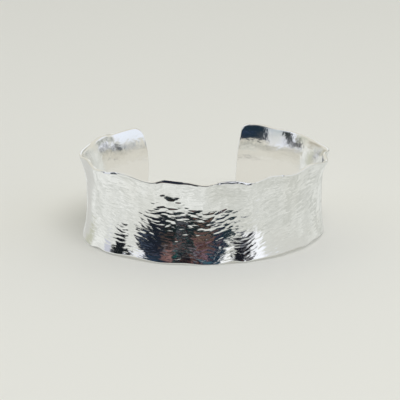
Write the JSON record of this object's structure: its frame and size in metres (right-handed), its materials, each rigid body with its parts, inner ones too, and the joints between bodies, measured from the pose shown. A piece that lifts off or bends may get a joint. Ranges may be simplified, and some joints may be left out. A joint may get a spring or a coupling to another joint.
{
  "type": "cuff bracelet",
  "caption": "Wide open cuff bracelet of hammered silver sheet, waisted in the middle, with wavy flared edges, rounded ends and a gap at the back for the wrist.",
  "frame": {"origin": "middle of the footprint, on the surface that the lower edge stands on", "axes": "+Z along the wrist axis, from the edge that the cuff stands on to the wavier edge; -Y towards the front of the band, +Y towards the gap; +X to the right seen from the front"},
  "size_m": [0.064, 0.0486, 0.0221],
  "materials": {
    "silver": "bright polished silver, hammer-textured outside and smooth inside"
  },
  "bodies": {
    "root": {"cuff": "silver"}
  },
  "joints": []
}
